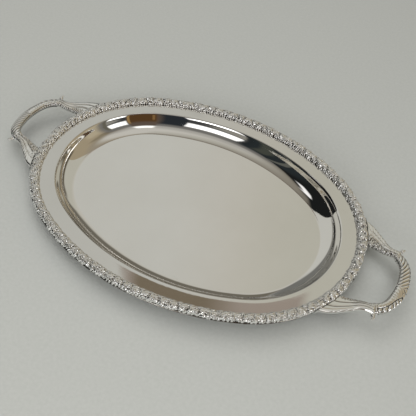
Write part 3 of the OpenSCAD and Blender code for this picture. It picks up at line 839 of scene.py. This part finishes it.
def world():
    """A soft room: pale walls and ceiling, a dim side towards the viewer, and a few soft panels."""
    w = bpy.data.worlds.new("soft_room")
    bpy.context.scene.world = w
    w.use_nodes = True
    nt = w.node_tree
    L = nt.links.new
    bg = nt.nodes["Background"]
    tc = node(nt, "ShaderNodeTexCoord")
    sep = node(nt, "ShaderNodeSeparateXYZ")
    L(tc.outputs["Generated"], sep.inputs[0])
    x, y, z = sep.outputs
    az = math_node(nt, "MULTIPLY", math_node(nt, "ARCTAN2", x, math_node(nt, "MULTIPLY", y, -1.0)), 180 / pi)
    el = math_node(nt, "MULTIPLY", math_node(nt, "ARCSINE", z), 180 / pi)

    def band(v, lo, hi, soft):
        a = maprange(nt, v, lo - soft, lo + soft, 0, 1, True)
        b = maprange(nt, v, hi - soft, hi + soft, 1, 0, True)
        return math_node(nt, "MULTIPLY", a, b)

    def patch(a0, a1, e0, e1, sa, se):
        return math_node(nt, "MULTIPLY", band(az, a0, a1, sa), band(el, e0, e1, se))

    # azimuth about the direction straight behind the tray
    c, s = math.cos(math.radians(152)), math.sin(math.radians(152))
    xa = math_node(nt, "ADD", math_node(nt, "MULTIPLY", x, c), math_node(nt, "MULTIPLY", y, -s))
    ya = math_node(nt, "ADD", math_node(nt, "MULTIPLY", x, s), math_node(nt, "MULTIPLY", y, c))
    far = math_node(nt, "MULTIPLY", math_node(nt, "ARCTAN2", xa, math_node(nt, "MULTIPLY", ya, -1.0)), 180 / pi)

    colour = [None]

    def over(mask, rgb):
        n = node(nt, "ShaderNodeMix", data_type="RGBA")
        L(mask, n.inputs["Factor"])
        if colour[0] is None:
            n.inputs["A"].default_value = (*BASE, 1)
        else:
            L(colour[0], n.inputs["A"])
        n.inputs["B"].default_value = (*rgb, 1)
        colour[0] = n.outputs["Result"]

    def curve(v, at, c0, c1=0.0, c2=0.0):
        """c0 + c1 (v - at) + c2 (v - at)^2"""
        t = math_node(nt, "SUBTRACT", v, at)
        q = math_node(nt, "MULTIPLY", math_node(nt, "MULTIPLY", t, t), c2)
        return math_node(nt, "ADD", math_node(nt, "ADD", math_node(nt, "MULTIPLY", t, c1), q), c0)

    def under(line, lo, hi):
        """1 below a line, falling to 0 between lo and hi degrees above it."""
        return maprange(nt, math_node(nt, "SUBTRACT", el, line), lo, hi, 1, 0, True)

    def both(*masks):
        out = masks[0]
        for k in masks[1:]:
            out = math_node(nt, "MULTIPLY", out, k)
        return out

    BASE = (0.515, 0.498, 0.447)
    over(patch(-400, 400, 66, 200, 1, 14), (0.535, 0.52, 0.48))          # ceiling
    over(patch(-80, 110, -30, 72, 12, 9), (0.40, 0.388, 0.36))
    over(patch(-140, -60, 55, 82, 15, 6), (0.445, 0.432, 0.385))
    # tan wall on the left, its top edge rising towards the back
    over(patch(70, 130, -30, 60, 8, 8), (0.26, 0.23, 0.185))
    tan_top = curve(far, -108, 48.5, 0.38, -0.0024)
    over(both(under(tan_top, -3, 9), band(far, -123, 20, 3)), (0.30, 0.262, 0.20))
    over(both(under(tan_top, -12, 0), band(far, -119, -30, 3)), (0.345, 0.29, 0.20))
    over(patch(92, 112, -30, 30, 4, 9), (0.43, 0.372, 0.265))
    over(both(patch(84, 104, 41, 53, 4, 5)), (0.15, 0.12, 0.085))
    over(both(patch(96, 124, 42, 53, 6, 5)), (0.235, 0.20, 0.135))
    # dim side towards the viewer, with a shaded cornice over it
    dark_top = curve(az, -112, 62, 0, -0.0032)
    over(both(under(dark_top, 0, 17), band(az, -150, -25, 8)), (0.225, 0.205, 0.17))
    over(patch(-50, 94, -30, 56, 6, 6), (0.165, 0.16, 0.15))
    over(both(under(dark_top, -2.5, 2.5), band(az, -149, -18, 2)), (0.011, 0.012, 0.012))
    over(patch(-50, -18, -30, 44, 5, 6), (0.020, 0.025, 0.027))
    over(patch(-41, -38, -30, 45, 0.5, 3), (0.105, 0.108, 0.095))
    over(patch(-32, -25, -30, 36, 1.5, 8), (0.055, 0.060, 0.050))
    over(patch(-17.5, 88, -30, 9, 1, 1.5), (0.045, 0.046, 0.048))        # sill
    over(patch(-17.5, 88, -30, 6.2, 1, 0.6), (0.26, 0.25, 0.225))
    over(patch(9.5, 24, -30, 42, 1.0, 7), (0.022, 0.026, 0.031))
    over(patch(22, 59, -30, 55, 2.5, 4), (0.105, 0.078, 0.060))          # amber block with brighter edges
    over(patch(24, 59, -30, 30, 1.5, 9), (0.085, 0.044, 0.017))
    over(patch(26, 29, -30, 18, 0.5, 6), (0.20, 0.115, 0.045))
    over(patch(55.5, 58.5, -30, 34, 0.5, 8), (0.28, 0.18, 0.075))
    over(patch(23, 59, 59.5, 72, 5, 3.5), (1.35, 1.34, 1.30))            # lamp
    over(patch(-17, 9.8, 10, 36, 0.8, 3.0), (1.25, 1.25, 1.25))           # windows
    over(patch(-13, 6.5, 17, 30, 2.0, 3.0), (4.2, 4.2, 4.2))
    over(patch(60, 83.5, 12, 38, 1.2, 4.0), (1.15, 1.15, 1.13))
    over(patch(63, 80, 18, 32, 2.0, 3.0), (3.2, 3.2, 3.15))
    over(patch(83.5, 88, -30, 42, 1.0, 5), (0.13, 0.12, 0.095))
    slant = curve(az, -72, 51.3, -0.48)
    over(both(under(slant, 1.0, 4.0), math_node(nt, "SUBTRACT", 1.0, under(slant, -5.0, -1.0)), band(az, -85, -61, 2.5)), (1.0, 1.0, 1.0))
    # pale wall behind, darker low down
    t2 = math_node(nt, "MULTIPLY", far, 1 / 64.0)
    t2 = math_node(nt, "MULTIPLY", t2, t2)
    t2 = math_node(nt, "SQRT", math_node(nt, "MAXIMUM", math_node(nt, "SUBTRACT", 1.0, math_node(nt, "MULTIPLY", t2, t2)), 0.0))
    hill = math_node(nt, "MULTIPLY", t2, 57.2)
    inside = both(under(hill, -0.6, 0.6), band(far, -63, 63, 0.8))
    over(inside, BASE)
    over(both(inside, band(far, -2, 90, 9)), (0.527, 0.527, 0.492))
    over(both(inside, band(far, -90, -10, 7)), (0.468, 0.458, 0.398))
    over(both(inside, band(far, -66, -25, 4), under(curve(far, -31, 16.5, 0.42), -4, 4)), (0.145, 0.130, 0.102))
    over(both(inside, band(far, -40, 0, 1.0), under(curve(far, 0, 35, 1.0), -4, 4)), (0.150, 0.138, 0.112))
    over(both(inside, band(far, 0, 40, 1.0), under(curve(far, 3, 36, -0.72), -4, 3)), (0.165, 0.165, 0.155))
    floor_top = curve(far, -5.5, 56.25, 0, -0.0115)
    above = math_node(nt, "SUBTRACT", 1.0, under(floor_top, -0.25, 0.25))
    over(both(above, band(far, -19, 10.6, 1.1), under(floor_top, 1.5, 4.0)), (0.315, 0.27, 0.232))     # brown panel overhead
    over(both(above, band(far, -6, 30, 4), band(far, -60, 9.1, 1.3), under(floor_top, 1.5, 3.5)), (0.185, 0.152, 0.108))
    over(patch(134, 170, -30, 14, 4, 3), (0.105, 0.088, 0.062))
    over(both(inside, band(far, 20, 62, 5), under(curve(far, 40, 11, -0.1), -4, 4)), (0.20, 0.195, 0.175))
    lp = node(nt, "ShaderNodeLightPath")
    n = node(nt, "ShaderNodeMix", data_type="RGBA")
    L(lp.outputs["Is Camera Ray"], n.inputs["Factor"])
    L(colour[0], n.inputs["A"])
    n.inputs["B"].default_value = (0.62, 0.63, 0.615, 1)
    L(n.outputs["Result"], bg.inputs["Color"])
    bg.inputs["Strength"].default_value = 1.0


def lights():
    def area(name, loc, target, size, power, seen=False):
        d = bpy.data.lights.new(name, "AREA")
        d.shape, d.size, d.energy = "DISK", size, power
        d.color = (1.0, 0.985, 0.955)
        o = bpy.data.objects.new(name, d)
        bpy.context.scene.collection.objects.link(o)
        o.location = loc
        o.rotation_euler = (Vector(target) - Vector(loc)).to_track_quat("-Z", "Y").to_euler()
        o.visible_glossy = seen
    area("key", (-0.7, 0.5, 2.0), (0, 0, 0), 2.2, 22)
    area("front", (0.35, -1.3, 0.45), (0, 0, 0), 0.9, 7)
    area("fill", (0.7, -0.9, 1.8), (0, 0, 0), 2.2, 18)


def camera():
    f, dist, az, el, roll = 608.5, 3.688 * 0.236, math.radians(26.03), math.radians(48.2), math.radians(5.38)
    tx, ty = 0.076 * 0.236, -0.083 * 0.236
    back = Vector((math.sin(az) * math.cos(el), -math.cos(az) * math.cos(el), math.sin(el)))
    right = Vector((math.cos(az), math.sin(az), 0))
    up = back.cross(right)
    r = math.cos(roll) * right + math.sin(roll) * up
    u = -math.sin(roll) * right + math.cos(roll) * up
    c = r * tx + u * ty + back * dist + Vector((0, 0, RIM * MM))
    d = bpy.data.cameras.new("camera")
    d.sensor_fit, d.sensor_width = "HORIZONTAL", 36.0
    d.lens = f / 416 * 36
    d.clip_start, d.clip_end = 0.01, 50
    o = bpy.data.objects.new("camera", d)
    m = Matrix((r, u, back)).transposed().to_4x4()
    m.translation = c
    o.matrix_world = m
    bpy.context.scene.collection.objects.link(o)
    bpy.context.scene.camera = o


camera()
world()
lights()
stage()
bpy.context.scene.view_settings.view_transform = "Standard"
pan()
for seg in SEGMENTS:
    border_segment(*seg)
grip("handle_grip_right", 1.0)
grip("handle_grip_left", -1.0)
for piece, mx, my in (("right_rear", 1, 1), ("right_front", 1, -1), ("left_rear", -1, 1), ("left_front", -1, -1)):
    leaf("handle_leaf_" + piece, mx, my, mx == my)
for name in ("handle_screws", "handle_washers"):
    ob = frame["nodes"][name]
    ob.data.materials.clear()
    ob.data.materials.append(STEEL)
